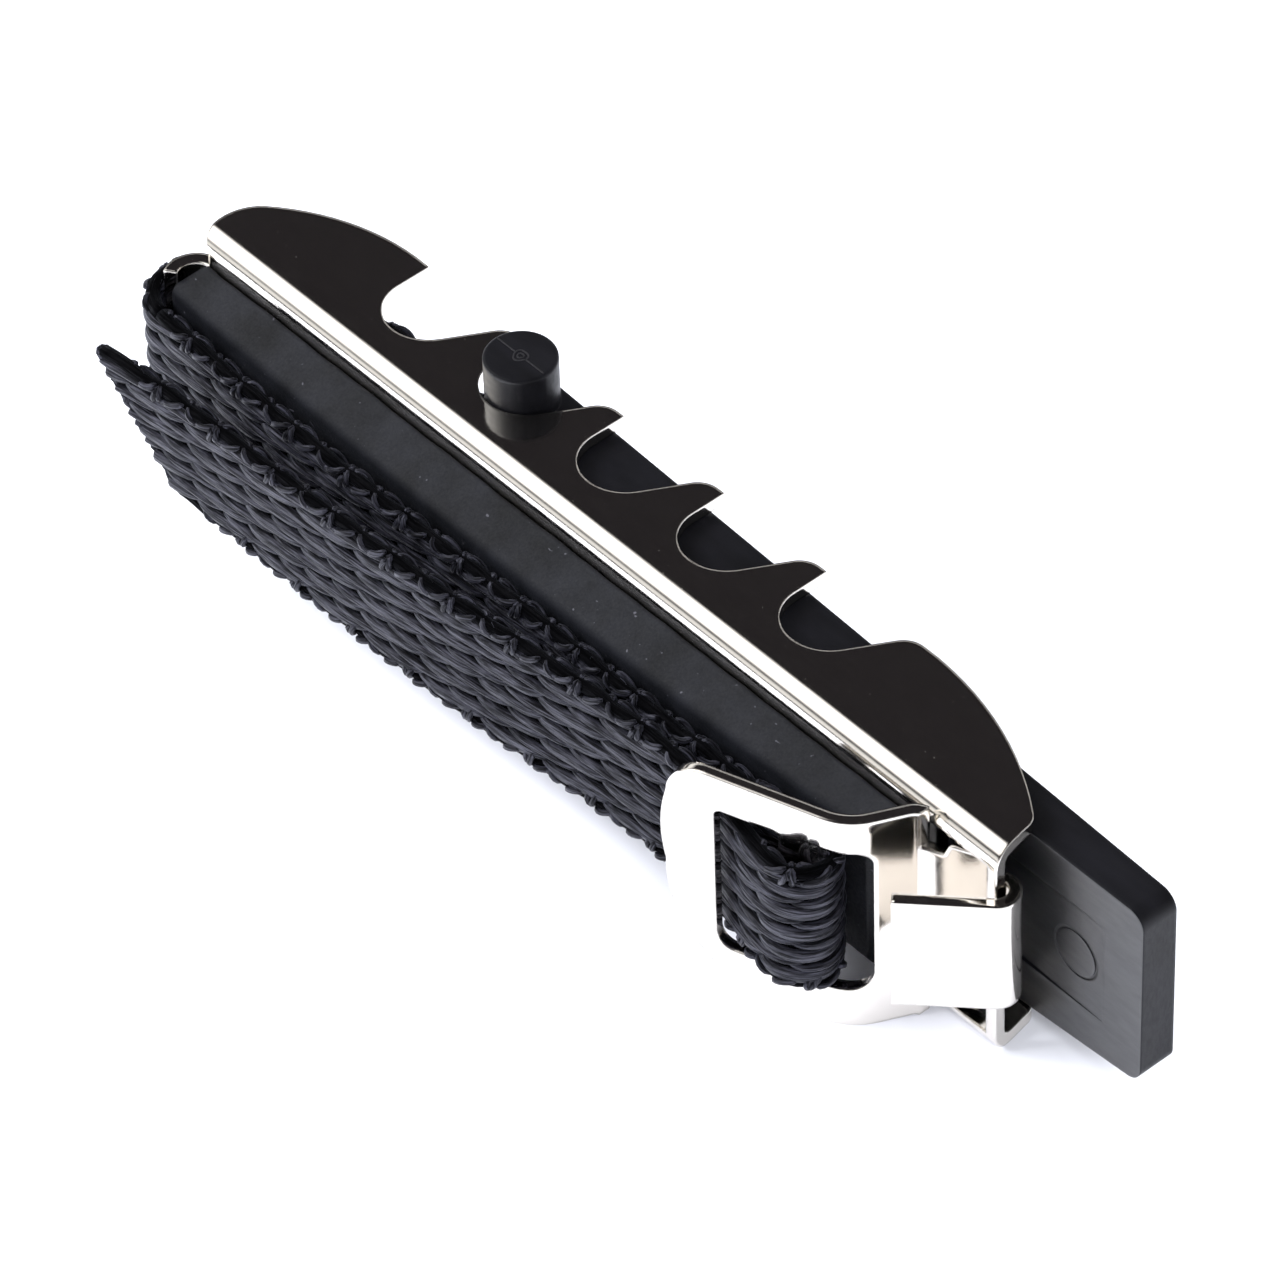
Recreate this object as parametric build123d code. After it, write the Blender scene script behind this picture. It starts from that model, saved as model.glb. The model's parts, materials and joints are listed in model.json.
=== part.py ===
"""Toggle capo: a notched steel channel bar with a rubber pad, a webbing strap, a strap buckle
hinged on the bar's end and a moulded toggle lever whose pegs sit in the notches.

Everything is drawn from the bar's left end: X runs along the bar, Y from the web's front face
towards the notches, Z up from the outer face of the bottom flange. Each node is then moved so
that the origin lies on the bottom flange, half way along the bar and half way across the flange.
Millimetres.
"""
import os
from math import cos, hypot, radians, sin, tan

from build123d import *

# Bar: folded from one sheet
bar_length = 62.8
bar_height = 14.9
flange_depth = 7.5
sheet = 0.8
bend_radius = 1.3
notch_pitch = 8.0
notch_count = 5
first_notch_x = 12.2
notch_floor_y = 2.87
lip_radius = 1.8
lip_margin = 1.9
window_left_x = 57.6
window_margin = 1.2
hinge_bar_width = 0.7

# Rubber pad
pad_back_height = 11.6
pad_front_height = 8.8
pad_end_depth = 2.05
pad_mid_depth = 2.65
pad_edge_radius = 0.6

# Lever
peg_radius = 2.05
peg_stand_out = 2.2
peg_notch = 1
peg_offset = (0.15, 2.18)
lever_gap = 0.15
lever_end_x = 70.3
lever_end_front_y = 3.1
lever_end_back_y = 5.42
lever_end_radius = 1.0
lever_end_rise = 0.75
lever_taper_x = 61.5
arm_thickness = 1.8
crotch_x = 31.2
cross_bar_x = 28.6
cross_bar_radius = 0.7
recess_height = 7.0
recess_x = (56.0, 67.5)
recess_depth = 0.3
ring_mark_x = 65.4
ring_mark_radius = 1.6

# Strap
strap_width = 8.8
strap_middle_z = 7.6
strap_thickness = 1.2
loop_thickness = 1.1
strap_gap = 0.05
tail_start = (-6.05, -1.6)
tail_end_x = 4.6
tail_cut_angle = 30.6

# Buckle: stamped from one sheet and folded
buckle_sheet = 0.7
buckle_middle_z = 7.6
buckle_height = 15.0
plate_corner = (54.9, -4.93)
plate_angle = 20.0
shoulder_point = (57.18, -2.63)
shoulder_angle = 65.0
shoulder_end_x = 58.1
neck_angle = 25.0
neck_height = 11.6
neck_notch_height = 10.0
neck_notch_x = 59.3
leaf_height = 7.55
leaf_middle_z = 8.2
leaf_angle = 43.3
leaf_length = 5.3
plate_bend_radius = 3.2
neck_bend_radius = 0.9
hinge_clearance = 0.07
opening_bottom_z = 2.8
opening_top_z = 12.95
opening_left_s = -6.1
opening_right_s = 2.6
centre_bar_s = (-2.35, -0.45)

# Worked out
middle_z = bar_height / 2
inner_z = bar_height - sheet
strap_bottom_z = strap_middle_z - strap_width / 2
peg_x = first_notch_x + peg_notch * notch_pitch + peg_offset[0]
peg_y = notch_floor_y + peg_offset[1]
arm_end_radius = peg_radius + 0.05
cross_bar_y = peg_y - 0.2
hinge_x = bar_length - hinge_bar_width / 2
hinge_y = sheet / 2
roll_inner_radius = hypot(hinge_bar_width, sheet) / 2 + hinge_clearance
to_origin = Pos(-bar_length / 2, -flange_depth / 2, 0)


def heading(angle):
    """Unit vector at an angle from +X in the XY plane."""
    return Vector(cos(radians(angle)), sin(radians(angle)))


def crossing(point_a, angle_a, point_b, angle_b):
    """Where two plan lines cross, each given by a point and a heading."""
    a, b = heading(angle_a), heading(angle_b)
    gap = Vector(*point_b) - Vector(*point_a)
    along = (gap.X * b.Y - gap.Y * b.X) / (a.X * b.Y - a.Y * b.X)
    return Vector(*point_a) + a * along


def strip(path, thickness, low, high):
    """A sheet standing on edge: a plan path given a thickness and raised from low to high."""
    return extrude(Pos(0, 0, low) * trace(path, thickness), high - low)


# ---------------------------------------------------------------- bar
def notch_face(seat_x):
    """One notch seen from above: steep left wall, round seat, sloping right side, round crest."""
    left_radius, right_radius, crest_radius, slope = 2.4, 2.75, 1.5, 60
    floor = Vector(seat_x, notch_floor_y)
    wall_foot = floor + Vector(-left_radius, left_radius)
    slope_foot = floor + Vector(0, right_radius) + heading(slope - 90) * right_radius
    crest_y = flange_depth - crest_radius
    slope_top_y = crest_y - crest_radius * sin(radians(slope - 90))
    slope_top = slope_foot + heading(slope) * ((slope_top_y - slope_foot.Y) / sin(radians(slope)))
    crest_centre = slope_top + heading(slope - 90) * crest_radius
    crest_end = crest_centre + Vector(0, crest_radius)
    above = Vector(0, 1.0)
    outline = [
        Line(Vector(wall_foot.X, crest_end.Y) + above, wall_foot),
        RadiusArc(wall_foot, floor, -left_radius),
        RadiusArc(floor, slope_foot, -right_radius),
        Line(slope_foot, slope_top),
        RadiusArc(slope_top, crest_end, crest_radius),
        Line(crest_end, crest_end + above),
        Line(crest_end + above, Vector(wall_foot.X, crest_end.Y) + above),
    ]
    return make_face(outline)


def flange_face():
    """Plan of a flange before notching: rounded lobes at both ends."""
    first_tip = (first_notch_x - 2.7, flange_depth)
    last_crest = (first_notch_x + (notch_count - 1) * notch_pitch + 6.3, flange_depth)
    left_shoulder = (-0.1, 4.05)
    right_shoulder = (61.8, 3.5)
    outline = [
        Line((-0.3, 0), (bar_length, 0)),
        Line((bar_length, 0), (62.3, 2.6)),
        ThreePointArc((62.3, 2.6), (62.17, 3.1), right_shoulder),
        ThreePointArc(right_shoulder, (56.2, 6.42), last_crest),
        Line(last_crest, first_tip),
        ThreePointArc(first_tip, (4.4, 6.72), left_shoulder),
        ThreePointArc(left_shoulder, (-0.96, 2.1), (-0.3, 0)),
    ]
    return make_face(outline)


def channel_bar():
    """U channel with five notches in both flanges, a lip at the left and a window at the right."""
    left = -1.0
    length = bar_length - left
    rail = Pos(left + length / 2, flange_depth, middle_z) * Box(length, 2 * flange_depth, bar_height)
    outer_bends = rail.edges().filter_by(Axis.X).group_by(Axis.Y)[0]
    rail = fillet(outer_bends, bend_radius)
    hollow = Pos(left + length / 2, flange_depth, middle_z) * Box(
        length, 2 * (flange_depth - sheet), bar_height - 2 * sheet
    )
    inner_bends = hollow.edges().filter_by(Axis.X).group_by(Axis.Y)[0]
    rail -= fillet(inner_bends, bend_radius - sheet)
    rail -= Pos(left / 2, 0, middle_z) * Box(-left, 2 * flange_depth, bar_height - 2 * sheet)

    plan = flange_face()
    for notch in range(notch_count):
        plan -= notch_face(first_notch_x + notch * notch_pitch)
    bar = rail & extrude(plan, bar_height)

    lip_path = CenterArc((0, sheet - lip_radius), lip_radius - sheet / 2, 90, 125)
    bar += strip(lip_path, sheet, lip_margin, bar_height - lip_margin)

    window_right_x = bar_length - hinge_bar_width
    window = Box(window_right_x - window_left_x, 3 * sheet, bar_height - 2 * window_margin)
    bar -= Pos((window_left_x + window_right_x) / 2, 0, middle_z) * window
    return bar


def rubber_pad():
    """Pad glued to the web: tapered towards the front, crowned along its length, slanted at its ends."""
    left_x, right_back_x, right_front_x = -0.75, 56.9, 55.4
    outline = [
        Line((0.3, 0), (right_back_x, 0)),
        Line((right_back_x, 0), (right_front_x, -pad_end_depth)),
        ThreePointArc(
            (right_front_x, -pad_end_depth), (26.0, -pad_mid_depth), (left_x, -pad_end_depth)
        ),
        Line((left_x, -pad_end_depth), (left_x, -0.75)),
        Line((left_x, -0.75), (0.3, 0)),
    ]
    pad = extrude(make_face(outline), bar_height)
    section = make_face(Polyline(
        (0, -pad_back_height / 2),
        (-pad_mid_depth, -pad_front_height / 2),
        (-pad_mid_depth, pad_front_height / 2),
        (0, pad_back_height / 2),
        close=True,
    ))
    section = fillet(section.vertices().group_by(Axis.X)[0], pad_edge_radius)
    across = Plane(origin=(-2, 0, middle_z), x_dir=(0, 1, 0), z_dir=(1, 0, 0))
    return pad & extrude(across * section, bar_length)


# ---------------------------------------------------------------- lever
def lever_plan():
    """Lever seen from above: round about the pegs, tapering to the thumb end."""
    back_top = (peg_x, peg_y + arm_end_radius)
    front_top = (peg_x, peg_y - arm_end_radius)
    outline = [
        ThreePointArc(back_top, (peg_x - arm_end_radius, peg_y), front_top),
        Line(front_top, (lever_end_x, lever_end_front_y)),
        Line((lever_end_x, lever_end_front_y), (lever_end_x, lever_end_back_y)),
        Line((lever_end_x, lever_end_back_y), back_top),
    ]
    return make_face(outline)


def lever_side(low, high):
    """Lever seen from the front: straight, its lower edge rising to the thumb end, corners rounded."""
    left = peg_x - 2 * arm_end_radius
    end_low = low + lever_end_rise
    side = make_face(Polyline(
        (left, low),
        (lever_taper_x, low),
        (lever_end_x, end_low),
        (lever_end_x, high),
        (left, high),
        close=True,
    ))
    return fillet(side.vertices().group_by(Axis.X)[-1], lever_end_radius)


def thumb_recess():
    """Shallow recess in the front of the thumb end, running out towards the tip, with a ring mark."""
    left, right = recess_x
    wedge = make_face(Polyline(
        (left, 0),
        (right, 0),
        (right, lever_end_front_y),
        (left, lever_end_front_y + recess_depth),
        close=True,
    ))
    recess = extrude(Pos(0, 0, strap_middle_z - recess_height / 2) * wedge, recess_height)
    ring_y = lever_end_front_y + recess_depth * (right - ring_mark_x) / (right - left)
    groove = Cylinder(ring_mark_radius, 0.12) - Cylinder(ring_mark_radius - 0.15, 0.12)
    return recess + Pos(ring_mark_x, ring_y, strap_middle_z) * Rot(90, 0, 0) * groove


def toggle_lever():
    """One moulding: two arms with a peg each, a cross bar for the strap and a thumb end."""
    low, high = sheet + lever_gap, inner_z - lever_gap
    front = Plane(origin=(0, 0, 0), x_dir=(1, 0, 0), z_dir=(0, -1, 0))
    lever = extrude(Pos(0, 0, low) * lever_plan(), high - low)
    lever &= extrude(front * lever_side(low, high), 2 * flange_depth, both=True)
    fork_height = high - low - 2 * arm_thickness
    fork_left_x = peg_x - 2 * arm_end_radius
    fork = Box(crotch_x - fork_left_x, 4 * flange_depth, fork_height)
    lever -= Pos((crotch_x + fork_left_x) / 2, peg_y, middle_z) * fork
    lever -= thumb_recess()
    lever += Pos(cross_bar_x, cross_bar_y, middle_z) * Cylinder(cross_bar_radius, high - low - arm_thickness)
    peg_length = peg_stand_out + low + arm_thickness / 2
    peg = Cylinder(peg_radius, peg_length)
    peg = fillet(peg.edges().filter_by(GeomType.CIRCLE), 0.15)
    for face_z, side in ((-peg_stand_out, 1), (bar_height + peg_stand_out, -1)):
        lever += Pos(peg_x, peg_y, face_z + side * peg_length / 2) * peg
    return lever


# ---------------------------------------------------------------- strap
def strap_loop_path():
    """End folded round the lever's cross bar, from the cut end to where it leaves the fold."""
    wrap = cross_bar_radius + strap_gap + loop_thickness / 2
    half_pair = loop_thickness / 2 + 0.03
    join_y = peg_y - 0.1
    top, bottom = (cross_bar_x, cross_bar_y + wrap), (cross_bar_x, cross_bar_y - wrap)
    return Curve() + [
        Line((21.6, join_y + half_pair), (23.6, join_y + half_pair)),
        Bezier((23.6, join_y + half_pair), (25.6, join_y + half_pair), (26.6, top[1]), top),
        RadiusArc(top, bottom, wrap),
        Bezier(bottom, (26.6, bottom[1]), (25.6, join_y - half_pair), (23.6, join_y - half_pair)),
        Line((23.6, join_y - half_pair), (20.9, join_y - half_pair)),
    ]


def strap_lever_loop():
    """The strap's sewn end, folded round the lever's cross bar."""
    return strip(strap_loop_path(), loop_thickness, strap_bottom_z, strap_bottom_z + strap_width)


def loop_stitches():
    """Thread lying across the folded end: two rows on each face."""
    thread, length = 0.24, strap_width - 1.6
    stitches = []
    for row_x in (21.8, 22.8):
        for side in (-1, 1):
            y = peg_y - 0.1 + side * (loop_thickness + 0.03 + thread / 2 + 0.02)
            stitches.append(Pos(row_x, y, strap_middle_z) * Box(thread, thread, length))
    return Compound(children=stitches)


def lip_wrap_radius():
    """Radius of the strap's middle where it turns round the bar's lip."""
    return lip_radius + strap_gap + strap_thickness / 2


def strap_channel_run():
    """Slack run inside the channel, from the lip to the lever's loop."""
    wrap = lip_wrap_radius()
    start = Vector(0, sheet - lip_radius) + heading(113) * wrap
    path = Spline(start, (4.2, 3.35), (11.0, 5.0), (19.9, 4.4), tangents=[heading(23), heading(-4)])
    return strip(path, strap_thickness, strap_bottom_z, strap_bottom_z + strap_width)


def strap_lip_turn():
    """Half turn round the bar's lip."""
    path = CenterArc((0, sheet - lip_radius), lip_wrap_radius(), 113, 157)
    return strip(path, strap_thickness, strap_bottom_z, strap_bottom_z + strap_width)


def strap_front_run():
    """Standing run in front of the pad, from the lip to the buckle."""
    start = (0, sheet - lip_radius - lip_wrap_radius())
    path = Spline(
        start, (4.0, -3.6), (13.0, -3.95), (31.0, -3.75), (46.2, -3.65),
        tangents=[heading(0), heading(2)],
    )
    return strip(path, strap_thickness, strap_bottom_z, strap_bottom_z + strap_width)


def at_plate(s, out):
    """Plan point from its place along the buckle's plate and its distance out from the front face."""
    point = Vector(*plate_corner) + heading(plate_angle) * s + heading(plate_angle - 90) * out
    return point.X, point.Y


def strap_buckle_fold():
    """Strap through the buckle: behind the rim, out of the right slot, over the centre bar and back."""
    bar_left, bar_right = centre_bar_s
    over = strap_gap + 0.15 + strap_thickness / 2
    route = [
        (-7.4, -4.05),
        (-4.2, -3.15),
        (bar_right - 0.8, -2.35),
        (bar_right + 0.6, -1.45),
        (bar_right + 0.85, -0.2),
        (bar_right, over),
        (bar_left + 0.1, over),
        (bar_left - 1.35, 0.05),
        (bar_left - 2.65, -0.85),
        tail_start,
    ]
    path = Spline(*[at_plate(s, out) for s, out in route])
    return strip(path, strap_thickness, strap_bottom_z, strap_bottom_z + strap_width)


def strap_tail():
    """Free end behind the buckle's rim, standing away from the strap and cut at a slant."""
    start = at_plate(*tail_start)
    path = Spline(start, (43.0, -5.0), (31.0, -5.75), (15.7, -6.5), (5.0, -6.75), (-0.8, -7.2))
    tail = strip(path, strap_thickness, strap_bottom_z, strap_bottom_z + strap_width)
    beyond = Box(12, 12, 40, align=(Align.MAX, Align.CENTER, Align.CENTER))
    cut = Pos(tail_end_x, -6, strap_bottom_z) * Rot(0, -tail_cut_angle, 0) * beyond
    return tail - cut


# ---------------------------------------------------------------- buckle
def buckle_corners():
    """Corners of the folded sheet's middle line, from the plate to the hinge roll."""
    half = buckle_sheet / 2
    plate_point = Vector(*plate_corner) + heading(plate_angle + 90) * half
    shoulder = Vector(*shoulder_point) + heading(shoulder_angle + 90) * half
    roll_start = Vector(hinge_x, hinge_y) + heading(neck_angle + 90) * (roll_inner_radius + half)
    plate_corner_mid = crossing((plate_point.X, plate_point.Y), plate_angle,
                                (shoulder.X, shoulder.Y), shoulder_angle)
    neck_corner_mid = crossing((shoulder.X, shoulder.Y), shoulder_angle,
                               (roll_start.X, roll_start.Y), neck_angle)
    return plate_point, plate_corner_mid, neck_corner_mid, roll_start


def plate_outline():
    """Plate seen square on: a D with a tight upper and a wide lower corner, open at the right."""
    bottom = buckle_middle_z - buckle_height / 2
    top = buckle_middle_z + buckle_height / 2
    right = 9.0
    outline = [
        Line((right, top), (-6.5, top + 0.15)),
        ThreePointArc((-6.5, top + 0.15), (-8.1, top - 0.4), (-8.85, top - 2.0)),
        ThreePointArc((-8.85, top - 2.0), (-9.22, 10.4), (-8.95, 8.0)),
        ThreePointArc((-8.95, 8.0), (-7.55, 2.9), (-4.0, bottom)),
        Line((-4.0, bottom), (right, bottom)),
        Line((right, bottom), (right, top)),
    ]
    return make_face(outline)


def slot_outline(left, right, corners):
    """One slot of the opening as a rectangle with its own radius at each corner."""
    points = [(s, z) for z in (opening_bottom_z, opening_top_z) for s in (left, right)]
    points[2:] = points[:1:-1]
    slot = make_face(Polyline(*points, close=True))
    for corner, radius in zip(points, corners):
        vertex = slot.vertices().sort_by_distance((corner[0], corner[1], 0))[0]
        slot = fillet(vertex, radius)
    return slot


def neck_half(start_x, side, leaf_edge):
    """Half of the neck seen from the front: a relief notch, a shoulder and a round step to the leaf."""
    notch_z, shoulder_z = side * neck_notch_height / 2, side * neck_height / 2
    step_x, right_x = 61.0, hinge_x + 1
    outline = [
        Line((start_x, 0), (start_x, notch_z)),
        Line((start_x, notch_z), (neck_notch_x, notch_z)),
        Line((neck_notch_x, notch_z), (neck_notch_x + 0.3, shoulder_z)),
        Line((neck_notch_x + 0.3, shoulder_z), (step_x, shoulder_z)),
        ThreePointArc(
            (step_x, shoulder_z),
            (step_x + 0.55, shoulder_z + (leaf_edge - shoulder_z) * 0.35),
            (step_x + 0.8, leaf_edge),
        ),
        Line((step_x + 0.8, leaf_edge), (right_x, leaf_edge)),
        Line((right_x, leaf_edge), (right_x, 0)),
        Line((right_x, 0), (start_x, 0)),
    ]
    return make_face(outline)


def strap_buckle():
    """One folded stamping: slotted plate, shoulder, neck, and a leaf rolled round the hinge bar."""
    plate_point, corner_1, corner_2, roll_start = buckle_corners()
    turn_1 = shoulder_angle - plate_angle
    turn_2 = shoulder_angle - neck_angle
    trim_1 = plate_bend_radius * tan(radians(turn_1 / 2))
    trim_2 = neck_bend_radius * tan(radians(turn_2 / 2))
    bend_1 = corner_1 - heading(plate_angle) * trim_1
    bend_1_end = corner_1 + heading(shoulder_angle) * trim_1
    bend_2 = corner_2 - heading(shoulder_angle) * trim_2
    bend_2_end = corner_2 + heading(neck_angle) * trim_2
    low, high = buckle_middle_z - 8.0, buckle_middle_z + 8.0

    plate_start = plate_point - heading(plate_angle) * 10
    plate_path = Curve() + [
        Line(plate_start, bend_1),
        JernArc(bend_1, heading(plate_angle), plate_bend_radius, turn_1),
        Line(bend_1_end, bend_2),
        JernArc(bend_2, heading(shoulder_angle), neck_bend_radius, -turn_2),
        Line(bend_2_end, bend_2_end + heading(neck_angle) * 0.3),
    ]
    plate = strip(plate_path, buckle_sheet, low, high)
    face = Plane(origin=(*plate_corner, 0), x_dir=heading(plate_angle), z_dir=heading(plate_angle - 90))
    plate &= extrude(face * plate_outline(), 12, both=True)
    left_slot = slot_outline(opening_left_s, centre_bar_s[0], (1.0, 0.4, 0.4, 0.5))
    right_slot = slot_outline(centre_bar_s[1], opening_right_s, (0.4, 1.2, 0.9, 0.4))
    for slot in (left_slot, right_slot):
        plate -= extrude(face * slot, 8, both=True)
    plate &= Pos(shoulder_end_x - 30, 0, buckle_middle_z) * Box(60, 60, 20)

    neck = strip(Line(bend_2_end - heading(neck_angle) * 0.4, roll_start), buckle_sheet, low, high)
    profile = Plane(origin=(0, 0, buckle_middle_z), x_dir=(1, 0, 0), z_dir=(0, -1, 0))
    start_x = corner_2.X - 1.5
    for side in (1, -1):
        leaf_edge = leaf_middle_z - buckle_middle_z + side * leaf_height / 2
        half = neck_half(start_x, side, leaf_edge)
        outline = half if side == 1 else outline + half
    neck &= extrude(profile * outline, 10, both=True)

    roll_turn = 180 - (leaf_angle - neck_angle)
    roll = JernArc(roll_start, heading(neck_angle), roll_inner_radius + buckle_sheet / 2, -roll_turn)
    leaf = Line(roll @ 1, (roll @ 1) - heading(leaf_angle) * leaf_length)
    leaf_low, leaf_high = leaf_middle_z - leaf_height / 2, leaf_middle_z + leaf_height / 2
    hinge = strip(Curve() + [roll, leaf], buckle_sheet, leaf_low, leaf_high)
    return plate + neck + hinge


nodes = {
    "channel_bar": channel_bar,
    "rubber_pad": rubber_pad,
    "toggle_lever": toggle_lever,
    "strap_lever_loop": strap_lever_loop,
    "loop_stitches": loop_stitches,
    "strap_channel_run": strap_channel_run,
    "strap_lip_turn": strap_lip_turn,
    "strap_front_run": strap_front_run,
    "strap_buckle_fold": strap_buckle_fold,
    "strap_tail": strap_tail,
    "strap_buckle": strap_buckle,
}

os.makedirs("parts", exist_ok=True)
for name, build in nodes.items():
    export_step(to_origin * build(), f"parts/{name}.step")
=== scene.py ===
import json
from math import cos, pi, radians, sin

import bpy
import numpy as np
from mathutils import Matrix, Vector


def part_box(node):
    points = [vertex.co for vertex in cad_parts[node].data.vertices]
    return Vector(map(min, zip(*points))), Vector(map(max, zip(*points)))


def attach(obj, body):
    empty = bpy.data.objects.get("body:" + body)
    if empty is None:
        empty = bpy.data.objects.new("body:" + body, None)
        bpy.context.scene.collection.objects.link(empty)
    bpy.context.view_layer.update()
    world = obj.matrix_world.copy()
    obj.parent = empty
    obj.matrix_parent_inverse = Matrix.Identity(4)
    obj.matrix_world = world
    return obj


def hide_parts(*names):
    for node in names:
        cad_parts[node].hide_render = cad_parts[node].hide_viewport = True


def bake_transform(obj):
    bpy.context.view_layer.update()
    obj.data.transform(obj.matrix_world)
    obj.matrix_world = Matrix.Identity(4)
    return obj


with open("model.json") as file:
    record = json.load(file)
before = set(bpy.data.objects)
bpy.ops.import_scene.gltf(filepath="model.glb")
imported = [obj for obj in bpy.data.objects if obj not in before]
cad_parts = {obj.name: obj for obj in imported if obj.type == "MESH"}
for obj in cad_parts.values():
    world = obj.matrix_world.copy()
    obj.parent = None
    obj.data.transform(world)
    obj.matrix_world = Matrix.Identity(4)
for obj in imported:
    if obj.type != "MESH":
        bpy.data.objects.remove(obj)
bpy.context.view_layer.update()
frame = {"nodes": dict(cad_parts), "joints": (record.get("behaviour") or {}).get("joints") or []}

MM = 0.001
random = np.random.default_rng(15)

# Strap, in millimetres
STRAP_WIDTH = 8.8
STRAP_THICKNESS = 1.16
WEAVE_LENGTH = 4.6
YARN_STEP = 0.25
TAIL_LEAN = 0.5
TAIL_LEAN_START = 15
CUT_SLANT = 0.59

# Warp yarns on the strap's faces: (place in the pair, half width, phase in weave lengths)
YARN_PAIRS = 5
PAIR_PITCH = 1.56
PAIR_YARNS = [(-0.27, 0.45, 0.0), (0.51, 0.28, 0.5)]
FLOAT_LENGTH = 1.15 * WEAVE_LENGTH
FLOAT_HALF_HEIGHT = 0.27
FLOAT_INSET = 0.26
FLOAT_SLANT = 0.19
FLOAT_DIVE = 0.28

# Weft inside the strap and the yarn along each edge
WEFT_PITCH = 0.62
WEFT_RADIUS = 0.19
WEFT_MARGIN = 0.35
EDGE_YARN_INSET = 0.42
EDGE_YARN_RADIUS = 0.36

# Weft turns over an edge: (along the strap, share of the skin's height, depth below the rim)
SELVEDGE_YARN = 0.19
SELVEDGE_TURNS = [
    [(-0.45, 0.7, 1.15), (-0.30, 1.0, 0.8), (-0.05, 1.0, 0.2), (0.05, 0.2, 0)],
    [(0.05, 0.2, 0), (0.32, 1.0, 0.25), (0.22, 1.0, 0.7), (0.05, 0.6, 0.95)],
    [(0.55, 0.7, 0.75), (0.9, 1.0, 0.6), (1.6, 1.05, 0.25), (2.0, 0.5, 0.05)],
    [(2.3, 0.3, 0.05), (2.6, 1.0, 0.3), (2.9, 1.0, 0.5), (3.2, 0.5, 0.7)],
    [(-1.5, 0.6, 0.6), (-1.1, 1.0, 0.42), (-0.5, 1.0, 0.15), (-0.2, 0.3, 0)],
]

STITCH_COUNT = 5

# Rubber pad, in millimetres
PAD_END_DEPTH = 2.05
PAD_MID_DEPTH = 2.65
PAD_TAPER = 1.4
PAD_EDGE_RADIUS = 0.75

# Floor, in the bar's frame: its height at the origin and its rise along X and Y
FLOOR_HEIGHT = -1.596
FLOOR_RISE_X = 0.0452
FLOOR_RISE_Y = -0.0806
FLOOR_REACH = 2500


# ---------------------------------------------------------------- meshes
def add_mesh(name, vertices, faces, materials, smooth=True):
    """A mesh object from vertices in millimetres."""
    mesh = bpy.data.meshes.new(name)
    mesh.from_pydata((np.asarray(vertices) * MM).tolist(), [], faces)
    mesh.validate()
    for material in materials:
        mesh.materials.append(material)
    mesh.polygons.foreach_set("use_smooth", [smooth] * len(mesh.polygons))
    piece = bpy.data.objects.new(name, mesh)
    bpy.context.scene.collection.objects.link(piece)
    return piece


def set_grain(piece, grain):
    """Stores where each vertex lies in its yarn, so that the fibres run along it."""
    attribute = piece.data.attributes.new("grain", "FLOAT_VECTOR", "POINT")
    attribute.data.foreach_set("vector", np.asarray(grain, np.float32).ravel())


def tube_faces(rings, sides, first):
    """Faces of a closed tube whose vertices are rings of the same number of sides."""
    faces = []
    for ring in range(rings - 1):
        for side in range(sides):
            a = first + ring * sides + side
            b = first + ring * sides + (side + 1) % sides
            faces.append((a, b, b + sides, a + sides))
    faces.append(tuple(first + side for side in reversed(range(sides))))
    faces.append(tuple(first + (rings - 1) * sides + side for side in range(sides)))
    return faces


class Yarns:
    """Collects tubes into one mesh, with the place of each vertex in its yarn."""

    def __init__(self):
        self.vertices = []
        self.grain = []
        self.faces = []
        self.shades = []

    def add(self, centres, across, up, half_widths, half_heights, sides=8, shade_slot=0):
        """One tube: centres, its two cross directions and its half sizes, ring by ring."""
        first = len(self.vertices)
        shade = random.uniform(0, 100)
        along = 0.0
        for i, centre in enumerate(centres):
            if i:
                along += np.linalg.norm(centre - centres[i - 1])
            for side in range(sides):
                angle = 2 * pi * side / sides
                x = half_widths[i] * cos(angle)
                y = half_heights[i] * sin(angle)
                self.vertices.append(centre + across[i] * x + up[i] * y)
                self.grain.append((along + shade, x + 10 * shade, y))
        tube = tube_faces(len(centres), sides, first)
        self.faces += tube
        self.shades += [shade_slot] * len(tube)

    def add_thread(self, centres, radius, sides=6):
        """A round thread along a few points, rounded off between them."""
        points = smooth_line(np.asarray(centres, float), radius * 1.5)
        tangents = np.gradient(points, axis=0)
        tangents /= np.linalg.norm(tangents, axis=1)[:, None]
        guide = np.array([0.31, 0.52, 0.79])
        across = np.cross(tangents, guide)
        across /= np.linalg.norm(across, axis=1)[:, None]
        up = np.cross(across, tangents)
        sizes = np.full(len(points), radius)
        sizes[[0, -1]] *= 0.5
        self.add(points, across, up, sizes, sizes, sides)

    def build(self, name, materials):
        piece = add_mesh(name, self.vertices, self.faces, materials)
        piece.data.polygons.foreach_set("material_index", self.shades)
        set_grain(piece, self.grain)
        return piece


def resample(points, step):
    """Points along a line at an even spacing of about step."""
    lengths = np.linalg.norm(np.diff(points, axis=0), axis=1)
    travel = np.concatenate([[0], np.cumsum(lengths)])
    count = max(int(round(travel[-1] / step)) + 1, 2)
    even = np.linspace(0, travel[-1], count)
    return np.stack([np.interp(even, travel, points[:, k]) for k in range(points.shape[1])], axis=1)


def smooth_line(points, step):
    """Even points along a line with its corners rounded."""
    line = resample(points, step)
    for _ in range(3):
        line[1:-1] = (line[:-2] + 2 * line[1:-1] + line[2:]) / 4
    return line


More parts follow.
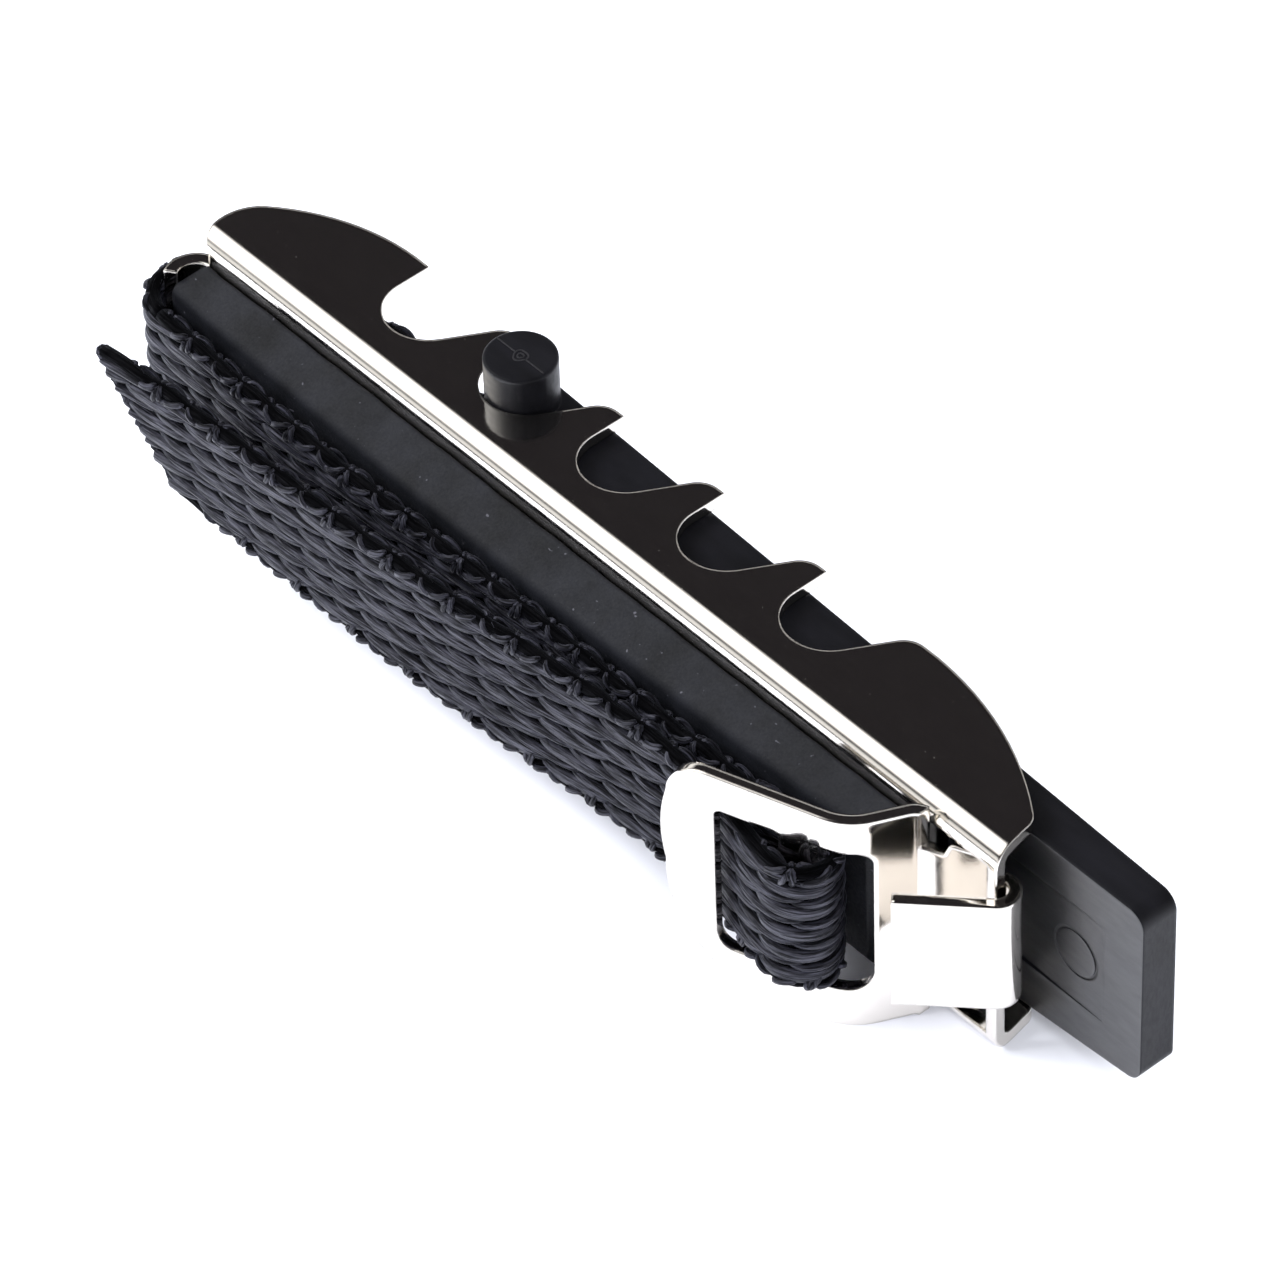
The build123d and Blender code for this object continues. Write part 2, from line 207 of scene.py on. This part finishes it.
# ---------------------------------------------------------------- strap route, from the CAD strips
def top_outline(node):
    """Plan outline of a standing strip's top face, in order, in millimetres."""
    mesh = frame["nodes"][node].data
    top = max(vertex.co.z for vertex in mesh.vertices)
    edges = set()
    for face in mesh.polygons:
        corners = [mesh.vertices[i].co for i in face.vertices]
        if min(corner.z for corner in corners) > top - 0.01 * MM:
            plan = [(corner.x, corner.y) for corner in corners]
            edges.update(zip(plan, plan[1:] + plan[:1]))
    border = {a: b for a, b in edges if (b, a) not in edges}
    outline = [next(iter(sorted(border)))]
    while border[outline[-1]] != outline[0]:
        outline.append(border[outline[-1]])
    return np.array(outline) / MM


def middle_line(node):
    """Middle line of a standing strip: half way between its two long sides."""
    outline = top_outline(node)
    ahead = np.roll(outline, -1, axis=0) - outline
    behind = outline - np.roll(outline, 1, axis=0)
    turn = (ahead * behind).sum(axis=1)
    turn /= np.linalg.norm(ahead, axis=1) * np.linalg.norm(behind, axis=1)
    corners = sorted(np.argsort(turn)[:4])
    sides = []
    for start, end in zip(corners, corners[1:] + corners[:1]):
        count = (end - start) % len(outline) + 1
        sides.append(outline[[(start + i) % len(outline) for i in range(count)]])
    lengths = [np.linalg.norm(np.diff(side, axis=0), axis=1).sum() for side in sides]
    first = 0 if lengths[0] + lengths[2] > lengths[1] + lengths[3] else 1
    left, right = resample(sides[first], 0.1), resample(sides[first + 2], 0.1)
    gaps = np.linalg.norm(left[:, None] - right[None], axis=2)
    return (left + right[gaps.argmin(axis=1)]) / 2


def strap_route():
    """The whole strap's middle line, and how far along it each of its CAD strips ends."""
    names = ["strap_lever_loop", "strap_channel_run", "strap_lip_turn",
             "strap_front_run", "strap_buckle_fold", "strap_tail"]
    loop = middle_line(names[0])
    if loop[0][1] < loop[-1][1]:
        loop = loop[::-1]
    line = loop
    ends = {}
    for name in names[1:]:
        ends[name] = len(line)
        part = middle_line(name)
        if np.linalg.norm(part[0] - line[-1]) > np.linalg.norm(part[-1] - line[-1]):
            part = part[::-1]
        line = np.concatenate([line, part])
    lengths = np.linalg.norm(np.diff(line, axis=0), axis=1)
    travel = np.concatenate([[0], np.cumsum(lengths)])
    starts = {name: travel[index] for name, index in ends.items()}
    line = resample(line, 0.1)
    for _ in range(12):
        line[1:-1] = (line[:-2] + 2 * line[1:-1] + line[2:]) / 4
    return line, travel[-1], starts


route, route_length, strip_starts = strap_route()
low_corner, high_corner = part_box("strap_front_run")
STRAP_MIDDLE = (low_corner.z + high_corner.z) / 2 / MM
LIP_END = strip_starts["strap_front_run"]
FOLD_END = strip_starts["strap_tail"]


def on_route(travel):
    """Plan points, tangents and normals at distances along the strap."""
    places = np.linspace(0, route_length, len(route))
    point = np.stack([np.interp(travel, places, route[:, k]) for k in range(2)], axis=1)
    slope = np.gradient(route, axis=0)
    slope /= np.linalg.norm(slope, axis=1)[:, None]
    tangent = np.stack([np.interp(travel, places, slope[:, k]) for k in range(2)], axis=1)
    tangent /= np.linalg.norm(tangent, axis=1)[:, None]
    normal = np.stack([-tangent[:, 1], tangent[:, 0]], axis=1)
    return point, tangent, normal


def in_strap(travel, out, height):
    """3-D points from the place along the strap, out of its middle layer and above its middle."""
    travel = np.asarray(travel, float)
    point, _, normal = on_route(travel)
    lean_start = FOLD_END + TAIL_LEAN_START
    lean = TAIL_LEAN * np.clip((travel - lean_start) / (route_length - lean_start), 0, 1)
    out = np.asarray(out) + lean * height / (STRAP_WIDTH / 2)
    plan = point + normal * out[:, None]
    return np.column_stack([plan, STRAP_MIDDLE + np.asarray(height) + 0 * travel])


# ---------------------------------------------------------------- webbing
def cut_travel(height):
    """Where the slanting cut ends the strap, at a height above its middle."""
    return route_length - 0.15 - (STRAP_WIDTH / 2 - height) * CUT_SLANT


def add_float(yarns, middle, height, half_width, face, last):
    """One warp float: lens shaped, slanted, diving into the strap at both ends."""
    reach = FLOAT_LENGTH / 2 * random.uniform(0.97, 1.04)
    ahead = min(reach, last - middle)
    if ahead < -0.6 * reach:
        return
    travel = np.linspace(middle - reach, middle + ahead, int((reach + ahead) / YARN_STEP) + 2)
    place = (travel - middle) / reach
    half_widths = half_width * (1 - 0.6 * np.abs(place) ** 3) * random.uniform(0.94, 1.06)
    half_heights = FLOAT_HALF_HEIGHT * (1 - 0.35 * np.abs(place) ** 3)
    skin = STRAP_THICKNESS / 2 - FLOAT_INSET + random.uniform(-0.025, 0.015)
    out = face * (skin - FLOAT_DIVE * np.abs(place) ** 4)
    side = height - face * FLOAT_SLANT * place + random.normal(0, 0.025)
    side = side + 0.03 * np.sin(travel * 1.7 + random.uniform(0, 6))
    centres = in_strap(travel, out, side)
    _, _, normal = on_route(travel)
    up = np.column_stack([normal, np.zeros(len(travel))])
    across = np.tile([0.0, 0.0, 1.0], (len(travel), 1))
    yarns.add(centres, across, up, half_widths, half_heights)


def add_warp(yarns, start, end, at_cut=False):
    """Pairs of a wide and a narrow yarn on each face, their floats half a weave length apart."""
    for face in (-1, 1):
        for pair in range(YARN_PAIRS):
            base = (pair - (YARN_PAIRS - 1) / 2) * PAIR_PITCH
            for offset, half_width, phase in PAIR_YARNS:
                height = base + offset
                last = cut_travel(height) + random.uniform(-0.12, 0.12) if at_cut else end + 0.3
                first = int(np.ceil(start / WEAVE_LENGTH - phase))
                count = int((end - start) / WEAVE_LENGTH) + 2
                for turn in range(first, first + count):
                    middle = (turn + phase) * WEAVE_LENGTH + random.normal(0, 0.05)
                    if start <= middle < end or at_cut and middle >= end:
                        add_float(yarns, middle, height, half_width, face, last)


def add_core(yarns, start, end, at_cut=False):
    """Weft in the middle of the strap, closing the slots, and a yarn along each edge, in the darker core
    material: painted shade in the slots.
    """
    heights = np.linspace(-STRAP_WIDTH / 2 + WEFT_MARGIN, STRAP_WIDTH / 2 - WEFT_MARGIN, 9)
    for middle in np.arange(start + 0.3, end - 0.2, WEFT_PITCH):
        reach = heights[[cut_travel(h) > middle + 0.4 for h in heights]] if at_cut else heights
        if len(reach) < 3:
            continue
        places = np.full(len(reach), middle)
        centres = in_strap(places, np.zeros(len(reach)), reach)
        _, tangent, normal = on_route(places)
        flat = np.column_stack([tangent, np.zeros(len(reach))])
        up = np.column_stack([normal, np.zeros(len(reach))])
        sizes = np.full(len(reach), WEFT_RADIUS)
        yarns.add(centres, flat, up, sizes * 2.0, sizes, sides=6, shade_slot=1)
    for edge in (-1, 1):
        height = edge * (STRAP_WIDTH / 2 - EDGE_YARN_INSET)
        last = cut_travel(height) - 0.2 if at_cut else end
        travel = np.linspace(start, last, int((last - start) / 0.5) + 2)
        out = 0.05 * np.sin(2 * pi * travel / WEAVE_LENGTH)
        centres = in_strap(travel, out, height + 0.04 * np.cos(travel * 2.1))
        _, _, normal = on_route(travel)
        up = np.column_stack([normal, np.zeros(len(travel))])
        across = np.tile([0.0, 0.0, 1.0], (len(travel), 1))
        sizes = np.full(len(travel), EDGE_YARN_RADIUS)
        yarns.add(centres, across, up, sizes, sizes * 1.15, shade_slot=1)


def add_selvedge(yarns, start, end, at_cut=False):
    """Weft turns over both edges, the same five in each weave length."""
    skin = STRAP_THICKNESS / 2 - 0.05
    rim = STRAP_WIDTH / 2 - 0.08
    for edge in (-1, 1):
        limit = cut_travel(edge * STRAP_WIDTH / 2) if at_cut else end
        for middle in np.arange(start + (0.5 + 0.1 * edge) * WEAVE_LENGTH, limit - 1.5, WEAVE_LENGTH):
            for face in (-1, 1):
                ahead = -face * edge
                for path in SELVEDGE_TURNS:
                    places = np.array(path)
                    if at_cut and middle + abs(places[-1, 0]) > limit - 0.3:
                        continue
                    wander = random.normal(0, 0.04, (len(path), 2))
                    points = in_strap(
                        middle + ahead * places[:, 0] + wander[:, 0],
                        face * skin * places[:, 1],
                        edge * (rim - places[:, 2] + wander[:, 1]),
                    )
                    yarns.add_thread(points, SELVEDGE_YARN)


def add_fuzz(yarns, start, end, count):
    """Loose fibres standing off the edges."""
    rim = STRAP_WIDTH / 2
    for _ in range(count):
        edge = random.choice([-1, 1])
        face = random.uniform(-1, 1)
        travel = random.uniform(start + 1, end - 1)
        reach = random.uniform(0.25, 0.7)
        lean = random.uniform(-0.8, 0.8)
        out = face * STRAP_THICKNESS / 2
        path = in_strap(
            [travel, travel + lean * 0.5, travel + lean],
            [out * 0.6, out * 1.05, out * 1.1],
            edge * np.array([rim - 0.4, rim + reach * 0.3, rim + reach * 0.45]),
        )
        yarns.add_thread(path, 0.018, sides=4)


def add_sealed_end(yarns):
    """Bead of melted yarn along the slanting cut."""
    heights = np.linspace(-STRAP_WIDTH / 2 + 0.3, STRAP_WIDTH / 2 - 0.2, 40)
    travel = cut_travel(heights) - 0.05 + random.normal(0, 0.06, len(heights))
    centres = in_strap(travel, random.normal(0, 0.04, len(heights)), heights)
    _, _, normal = on_route(travel)
    up = np.column_stack([normal, np.zeros(len(heights))])
    across = np.cross(up, np.gradient(centres, axis=0))
    across /= np.linalg.norm(across, axis=1)[:, None]
    sizes = 0.30 + random.uniform(-0.05, 0.08, len(heights))
    sizes[[0, -1]] *= 0.5
    yarns.add(centres, across, up, sizes * 0.8, sizes * 1.35)


def webbing_piece(name, start, end, materials, at_cut=False):
    """A length of woven strap."""
    yarns = Yarns()
    add_warp(yarns, start, end, at_cut)
    add_core(yarns, start, end, at_cut)
    add_selvedge(yarns, start, end, at_cut)
    add_fuzz(yarns, start, end, int((end - start) / 2.5))
    if at_cut:
        add_sealed_end(yarns)
    return yarns.build(name, materials)


# ---------------------------------------------------------------- materials
def new_material(name):
    """An empty node material and its Principled shader."""
    material = bpy.data.materials.new(name)
    material.use_nodes = True
    return material, material.node_tree.nodes["Principled BSDF"]


def add_node(material, kind, **values):
    """A shader node with its properties and unlinked inputs set."""
    node = material.node_tree.nodes.new(kind)
    for key, value in values.items():
        if key in node.inputs:
            node.inputs[key].default_value = value
        else:
            setattr(node, key, value)
    return node


def connect(material, output, target):
    material.node_tree.links.new(output, target)


def noise(material, vector, scale, detail=3.0, roughness=0.55):
    """Noise texture at a number of features for each millimetre or grain unit."""
    node = add_node(material, "ShaderNodeTexNoise", Scale=scale, Detail=detail, Roughness=roughness)
    connect(material, vector, node.inputs["Vector"])
    return node.outputs["Fac"]


def ramp(material, value, low, high, colours):
    """Two colours or greys between two values."""
    node = add_node(material, "ShaderNodeValToRGB")
    node.color_ramp.elements[0].position = low
    node.color_ramp.elements[1].position = high
    node.color_ramp.elements[0].color = (*colours[0], 1)
    node.color_ramp.elements[1].color = (*colours[1], 1)
    connect(material, value, node.inputs["Fac"])
    return node.outputs["Color"]


def in_range(material, value, low, high, new_low, new_high):
    """A value mapped from one range to another."""
    node = add_node(material, "ShaderNodeMapRange")
    for key, number in (("From Min", low), ("From Max", high), ("To Min", new_low), ("To Max", new_high)):
        node.inputs[key].default_value = number
    connect(material, value, node.inputs["Value"])
    return node.outputs["Result"]


def mixed(material, first, second, blend_type):
    """Two colours added or multiplied."""
    mix = add_node(material, "ShaderNodeMix", data_type="RGBA", blend_type=blend_type)
    mix.inputs["Factor"].default_value = 1.0
    connect(material, first, mix.inputs["A"])
    connect(material, second, mix.inputs["B"])
    return mix.outputs["Result"]


def millimetres(material, stretch=(1, 1, 1)):
    """Object coordinates in millimetres, stretched along the axes."""
    place = add_node(material, "ShaderNodeTexCoord").outputs["Object"]
    node = add_node(material, "ShaderNodeMapping")
    node.inputs["Scale"].default_value = [1000 * k for k in stretch]
    connect(material, place, node.inputs["Vector"])
    return node.outputs["Vector"]


def bump(material, height, distance, strength=1.0, normal=None):
    """Bump of a height in millimetres."""
    node = add_node(material, "ShaderNodeBump", Strength=strength, Distance=distance * MM)
    connect(material, height, node.inputs["Height"])
    if normal is not None:
        connect(material, normal, node.inputs["Normal"])
    return node.outputs["Normal"]


def rounded(material, radius):
    """Edges eased by a radius in millimetres."""
    return add_node(material, "ShaderNodeBevel", samples=8, Radius=radius * MM).outputs["Normal"]


def plated_metal(name, tint, easing):
    """Polished nickel plate: fine orange peel, faint scratches along the bar and dust specks."""
    material, shader = new_material(name)
    place = millimetres(material)
    patches = noise(material, place, 0.25)
    peel = noise(material, place, 2.2, detail=2.0)
    streaks = noise(material, millimetres(material, (0.4, 9, 9)), 1.0, detail=4.0)
    specks = noise(material, place, 5.0, detail=1.0)
    colour = ramp(material, patches, 0.3, 0.75, (tuple(k * 0.95 for k in tint), tint))
    connect(material, colour, shader.inputs["Base Color"])
    shader.inputs["Metallic"].default_value = 1.0
    wear = in_range(material, streaks, 0.4, 0.75, 0.08, 0.14)
    dust = in_range(material, specks, 0.75, 0.80, 0.0, 0.16)
    total = add_node(material, "ShaderNodeMath", operation="ADD")
    connect(material, wear, total.inputs[0])
    connect(material, dust, total.inputs[1])
    connect(material, total.outputs[0], shader.inputs["Roughness"])
    normal = rounded(material, easing)
    normal = bump(material, peel, 0.002, 0.6, normal)
    normal = bump(material, streaks, 0.0015, 0.5, normal)
    connect(material, normal, shader.inputs["Normal"])
    return material


def moulded_plastic(name, dark, light):
    """Satin black moulding: fine grain, flow variation and scuffs, with a painted sheen where faces turn
    to the front.
    """
    material, shader = new_material(name)
    place = millimetres(material)
    flow = noise(material, millimetres(material, (0.12, 0.4, 0.4)), 1.0)
    grain = noise(material, place, 9.0, detail=4.0)
    scuffs = noise(material, millimetres(material, (0.7, 6, 2.5)), 0.9, detail=5.0)
    colour = ramp(material, flow, 0.3, 0.7, (dark, light))
    connect(material, colour, shader.inputs["Base Color"])
    rough = in_range(material, scuffs, 0.35, 0.7, 0.36, 0.48)
    connect(material, rough, shader.inputs["Roughness"])
    facing = add_node(material, "ShaderNodeSeparateXYZ")
    connect(material, add_node(material, "ShaderNodeTexCoord").outputs["Normal"], facing.inputs[0])
    # Painted sheen: faces turned to the front (-Y) get a higher specular level than the rest, so the front
    # looks lit
    painted_front_sheen = in_range(material, facing.outputs["Y"], -0.95, -0.6, 1.0, 0.16)
    connect(material, painted_front_sheen, shader.inputs["Specular IOR Level"])
    normal = rounded(material, 0.25)
    normal = bump(material, grain, 0.008, 0.5, normal)
    connect(material, normal, shader.inputs["Normal"])
    return material


def pad_rubber():
    """Matte charcoal rubber with a chalky bloom and dust specks."""
    material, shader = new_material("pad_rubber")
    place = millimetres(material)
    bloom = noise(material, place, 0.35, detail=5.0)
    grain = noise(material, place, 7.0, detail=4.0)
    specks = noise(material, place, 3.3, detail=1.0, roughness=0.3)
    base = ramp(material, bloom, 0.3, 0.75, ((0.0035, 0.0038, 0.0050), (0.0100, 0.0108, 0.0145)))
    dust = ramp(material, specks, 0.76, 0.80, ((0, 0, 0), (0.05, 0.05, 0.06)))
    connect(material, mixed(material, base, dust, "ADD"), shader.inputs["Base Color"])
    shader.inputs["Specular IOR Level"].default_value = 0.3
    rough = in_range(material, grain, 0.3, 0.7, 0.48, 0.66)
    connect(material, rough, shader.inputs["Roughness"])
    connect(material, bump(material, grain, 0.02, 0.8), shader.inputs["Normal"])
    return material


def nylon_yarn(name, dark, light, gloss):
    """Multifilament nylon: streaks of filaments along each yarn, with a cool sheen."""
    material, shader = new_material(name)
    grain = add_node(material, "ShaderNodeAttribute", attribute_name="grain").outputs["Vector"]
    stretched = add_node(material, "ShaderNodeMapping")
    stretched.inputs["Scale"].default_value = (0.6, 10, 10)
    connect(material, grain, stretched.inputs["Vector"])
    filaments = noise(material, stretched.outputs["Vector"], 1.0, detail=3.0)
    lots = noise(material, grain, 0.35, detail=2.0)
    base = ramp(material, filaments, 0.42, 0.72, (dark, light))
    shade = ramp(material, lots, 0.35, 0.7, ((0.75, 0.75, 0.75), (1.15, 1.15, 1.15)))
    connect(material, mixed(material, base, shade, "MULTIPLY"), shader.inputs["Base Color"])
    rough = in_range(material, filaments, 0.3, 0.7, 0.58, 0.36)
    connect(material, rough, shader.inputs["Roughness"])
    shine = in_range(material, filaments, 0.42, 0.68, gloss * 0.25, gloss)
    connect(material, shine, shader.inputs["Specular IOR Level"])
    shader.inputs["Specular Tint"].default_value = (0.88, 0.88, 1.0, 1)
    shader.inputs["Sheen Weight"].default_value = 0.02
    shader.inputs["Sheen Roughness"].default_value = 0.4
    shader.inputs["Sheen Tint"].default_value = (0.75, 0.8, 1.0, 1)
    connect(material, bump(material, filaments, 0.09, 1.0), shader.inputs["Normal"])
    return material


# ---------------------------------------------------------------- pad
def pad_profile(depth, back, front, rounding):
    """Half of the tapered section, from the glued back to the front face: (out, height)."""
    slope = (back - front) / depth
    tilt = pi / 2 - np.arctan(slope)
    centre_out = depth - rounding
    centre_height = back - slope * centre_out - rounding / sin(tilt)
    points = [(0.02, back - 0.2), (0.14, back - 0.05), (0.32, back - 0.32 * slope)]
    for angle in np.linspace(tilt, 0, 7):
        points.append((centre_out + rounding * cos(angle), centre_height + rounding * sin(angle)))
    return points


def build_pad(material):
    """Moulded rubber strip: tapered to the front, rounded edges, wavy where it meets the steel."""
    low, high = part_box("rubber_pad")
    low, high = low / MM, high / MM
    middle = (low.z + high.z) / 2
    length = high.x - low.x
    half_back = (high.z - low.z) / 2
    crown = high.y - low.y - PAD_END_DEPTH
    stations = np.linspace(0, 1, 180)
    vertices = []
    for t in stations:
        depth = PAD_END_DEPTH + crown * max(1 - (2 * t - 0.93) ** 2, 0.0)
        wave = 0.10 * sin(t * 23.0 + 0.6) ** 2 * (1 - t) + 0.05 * sin(t * 61.0) ** 2
        half_front = half_back - PAD_TAPER * depth / PAD_MID_DEPTH
        half = pad_profile(depth, half_back - wave, half_front, PAD_EDGE_RADIUS)
        section = half + [(out, -height) for out, height in reversed(half)]
        for out, height in section:
            left_slant = 1.05 * (1 - min(out / PAD_EDGE_RADIUS, 1.0)) * max(0.0, 1 - t * 20)
            right_slant = 1.5 * out / PAD_END_DEPTH * max(0.0, t * 12 - 11)
            x = low.x + 0.02 + t * (length - 0.04) + left_slant - right_slant
            vertices.append((x, high.y - out, middle + height))
    sides = len(vertices) // len(stations)
    return add_mesh("rubber_pad_skin", vertices, tube_faces(len(stations), sides, 0), [material])


# ---------------------------------------------------------------- sewn loop
def build_stitches(material):
    """Two rows of lock stitches over each face of the sewn loop."""
    yarns = Yarns()
    low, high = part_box("loop_stitches")
    low, high = low / MM, high / MM
    for x in (low.x + 0.12, high.x - 0.12):
        for y, out in ((low.y + 0.10, -1), (high.y - 0.10, 1)):
            pitch = (high.z - low.z) / STITCH_COUNT
            for stitch in range(STITCH_COUNT):
                foot = low.z + stitch * pitch
                path = [
                    (x, y - out * 0.18, foot + 0.08),
                    (x, y, foot + 0.28),
                    (x, y, foot + pitch - 0.28),
                    (x, y - out * 0.18, foot + pitch - 0.08),
                ]
                yarns.add_thread(path, 0.11)
    return yarns.build("sewn_stitches", [material])


def build_moulding_marks(peg, material):
    """Parting line and gate mark left by the mould on both ends of the peg at a place."""
    low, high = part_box("toggle_lever")
    marks = Yarns()
    for z in (low.z / MM, high.z / MM):
        for start, end in ((-1.9, -0.4), (0.4, 1.9)):
            line = [(peg.x + start, peg.y, z), (peg.x + end, peg.y, z)]
            marks.add_thread(line, 0.045)
        for radius in (0.2, 0.42):
            turns = np.linspace(0, 2 * pi, 13)
            sway = radius * (1 + 0.12 * np.sin(3 * turns))
            across, along = sway * np.cos(turns), sway * np.sin(turns)
            ring = np.column_stack([peg.x + across, peg.y + along, z + 0 * turns])
            marks.add_thread(ring, 0.05)
    return marks.build("peg_moulding_marks", [material])


# ---------------------------------------------------------------- stage
def floor_height(x, y):
    """The lever's peg, the bar's corner and the buckle rest on a floor that is tilted to the bar."""
    return FLOOR_HEIGHT + FLOOR_RISE_X * x + FLOOR_RISE_Y * y


def build_floor():
    """Plain pale floor that fills the view."""
    corners = [(x * FLOOR_REACH, y * FLOOR_REACH) for x, y in ((-1, -1), (1, -1), (1, 1), (-1, 1))]
    vertices = [(x, y, floor_height(x, y)) for x, y in corners]
    material, shader = new_material("pale_floor")
    shader.inputs["Base Color"].default_value = (0.80, 0.82, 0.90, 1)
    shader.inputs["Roughness"].default_value = 0.9
    shader.inputs["Specular IOR Level"].default_value = 0.1
    floor = add_mesh("floor", vertices, [(0, 1, 2, 3)], [material], smooth=False)


def add_light(name, place, size, power):
    """A rectangular soft light aimed at the object, which reflections do not show."""
    lamp = bpy.data.lights.new(name, "AREA")
    lamp.shape = "RECTANGLE"
    lamp.size, lamp.size_y = size
    lamp.energy = power
    light = bpy.data.objects.new(name, lamp)
    light.location = place
    light.rotation_euler = Vector(place).to_track_quat("Z", "Y").to_euler()
    light.visible_glossy = False
    bpy.context.scene.collection.objects.link(light)


def mirrored_walls(tree, place):
    """What the metal mirrors: a dark ceiling and horizon, with white walls between them."""
    split = tree.nodes.new("ShaderNodeSeparateXYZ")
    tree.links.new(place, split.inputs[0])
    walls = tree.nodes.new("ShaderNodeValToRGB")
    tree.links.new(split.outputs["Z"], walls.inputs["Fac"])
    dark, white = (0.0168, 0.0150, 0.0172, 1), (1, 1, 1, 1)
    stops = [(0.0, dark), (0.10, dark), (0.15, white), (0.30, white), (0.42, dark)]
    while len(walls.color_ramp.elements) < len(stops):
        walls.color_ramp.elements.new(1.0)
    for stop, (height, colour) in zip(walls.color_ramp.elements, stops):
        stop.position = height
        stop.color = colour
    return walls.outputs["Color"]


def mirrored_softbox(tree, place):
    """A round soft light that the metal mirrors, fading from its middle to its rim."""
    facing = tree.nodes.new("ShaderNodeVectorMath")
    facing.operation = "DOT_PRODUCT"
    tree.links.new(place, facing.inputs[0])
    facing.inputs[1].default_value = Vector((-0.60, -0.28, 0.72)).normalized()
    softbox = tree.nodes.new("ShaderNodeMapRange")
    softbox.inputs["From Min"].default_value = cos(radians(31))
    softbox.inputs["From Max"].default_value = cos(radians(18))
    softbox.inputs["To Max"].default_value = 2.2
    tree.links.new(facing.outputs["Value"], softbox.inputs["Value"])
    return softbox.outputs["Result"]


def light_studio():
    """White room for what it lights; in the reflections a dark ceiling, white walls and a softbox."""
    world = bpy.data.worlds.new("studio")
    bpy.context.scene.world = world
    world.use_nodes = True
    tree = world.node_tree
    tree.nodes.clear()
    place = tree.nodes.new("ShaderNodeTexCoord").outputs["Generated"]
    seen = tree.nodes.new("ShaderNodeVectorMath")
    tree.links.new(mirrored_walls(tree, place), seen.inputs[0])
    tree.links.new(mirrored_softbox(tree, place), seen.inputs[1])

    lit = tree.nodes.new("ShaderNodeBackground")
    lit.inputs["Color"].default_value = (1.0, 1.0, 1.0, 1)
    lit.inputs["Strength"].default_value = 1.1
    mirrored = tree.nodes.new("ShaderNodeBackground")
    tree.links.new(seen.outputs["Vector"], mirrored.inputs["Color"])
    mix = tree.nodes.new("ShaderNodeMixShader")
    rays = tree.nodes.new("ShaderNodeLightPath")
    tree.links.new(rays.outputs["Is Glossy Ray"], mix.inputs["Fac"])
    tree.links.new(lit.outputs[0], mix.inputs[1])
    tree.links.new(mirrored.outputs[0], mix.inputs[2])
    output = tree.nodes.new("ShaderNodeOutputWorld")
    tree.links.new(mix.outputs[0], output.inputs["Surface"])

    add_light("softbox_front", (-0.40, -0.42, 0.52), (0.5, 0.28), 9)
    add_light("softbox_right", (0.75, -0.25, 0.55), (0.35, 0.5), 6)
    add_light("softbox_back", (0.25, 0.7, 0.6), (0.6, 0.25), 5)


def add_camera():
    """Long lens above the front right corner, with the slight roll of the tilted floor."""
    place = Vector((0.2480, -0.20765, 0.3279))
    aim = Vector((0.00154, -0.00165, 0.0070))
    camera = bpy.data.objects.new("camera", bpy.data.cameras.new("camera"))
    camera.data.sensor_width = 36
    camera.data.lens = 241.0
    look = (aim - place).to_track_quat("-Z", "Y").to_matrix().to_4x4()
    camera.matrix_world = Matrix.Translation(place) @ look @ Matrix.Rotation(radians(-2.01), 4, "Z")
    bpy.context.scene.collection.objects.link(camera)
    bpy.context.scene.camera = camera


# ---------------------------------------------------------------- assembly
def paint(node, material):
    """Gives a CAD node its finish."""
    mesh = frame["nodes"][node].data
    mesh.materials.clear()
    mesh.materials.append(material)


bar_nickel = plated_metal("bar_nickel", (0.86, 0.82, 0.76), 0.25)
buckle_nickel = plated_metal("buckle_nickel", (0.90, 0.86, 0.80), 0.34)
webbing_yarn = nylon_yarn("webbing_yarn", (0.0006, 0.0006, 0.0009), (0.027, 0.0275, 0.040), 0.8)
# Painted shade: a darker, less glossy copy of the yarn material for the weft and edge yarns, so the slots
# between floats look shaded
webbing_core_painted_shade = nylon_yarn("webbing_core_painted_shade", (0.0004, 0.0004, 0.0005), (0.0015, 0.0015, 0.002), 0.05)
webbing = [webbing_yarn, webbing_core_painted_shade]
sewing_thread = nylon_yarn("sewing_thread", (0.006, 0.006, 0.007), (0.028, 0.028, 0.032), 0.4)

paint("channel_bar", bar_nickel)
paint("strap_buckle", buckle_nickel)
paint("toggle_lever", moulded_plastic("lever_plastic", (0.0022, 0.0022, 0.0028), (0.0060, 0.0060, 0.0080)))

pad = build_pad(pad_rubber())
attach(pad, "bar")
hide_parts("rubber_pad")

lever_swing = next(joint for joint in frame["joints"] if joint["name"] == "lever_swing")
peg = Vector(lever_swing["pos_m"]) / MM
mould_flash = moulded_plastic("mould_flash", (0.012, 0.012, 0.014), (0.03, 0.03, 0.034))
marks = build_moulding_marks(peg, mould_flash)
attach(marks, "lever")

lever_webbing = webbing_piece("webbing_lever_side", 0.0, LIP_END, webbing)
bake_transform(lever_webbing)
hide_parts("strap_lever_loop", "strap_channel_run", "strap_lip_turn")

front_webbing = webbing_piece("webbing_front_run", LIP_END, FOLD_END, webbing)
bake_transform(front_webbing)
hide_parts("strap_front_run", "strap_buckle_fold")

tail_webbing = webbing_piece("webbing_tail", FOLD_END, route_length, webbing, at_cut=True)
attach(tail_webbing, "buckle")
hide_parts("strap_tail")

stitches = build_stitches(sewing_thread)
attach(stitches, "lever")
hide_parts("loop_stitches")

build_floor()
light_studio()
add_camera()
bpy.context.scene.view_settings.view_transform = "Standard"
